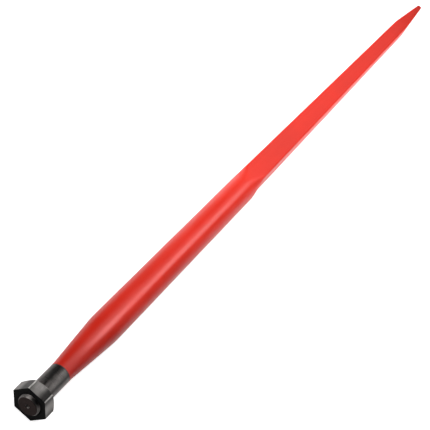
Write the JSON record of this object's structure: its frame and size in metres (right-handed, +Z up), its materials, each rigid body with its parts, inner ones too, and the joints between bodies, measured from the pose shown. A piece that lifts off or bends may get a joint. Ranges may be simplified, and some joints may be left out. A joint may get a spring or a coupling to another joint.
{
  "type": "bale spear",
  "caption": "Long forged steel bale spear: hexagon nut on a stud, bare shank, flared round body, tapered square fore part and blunt point, painted red.",
  "frame": {"origin": "centre of the nut's bearing face, on the axis of the stud and shank", "axes": "+X along the spear from the nut to the point, +Z up from the nut flat that it lies on"},
  "size_m": [1.2497, 0.0528, 0.046],
  "materials": {
    "painted_forged_steel": "satin",
    "dark_steel": "satin"
  },
  "bodies": {
    "root": {"spear": "painted_forged_steel", "hex_nut": "dark_steel"}
  },
  "joints": []
}
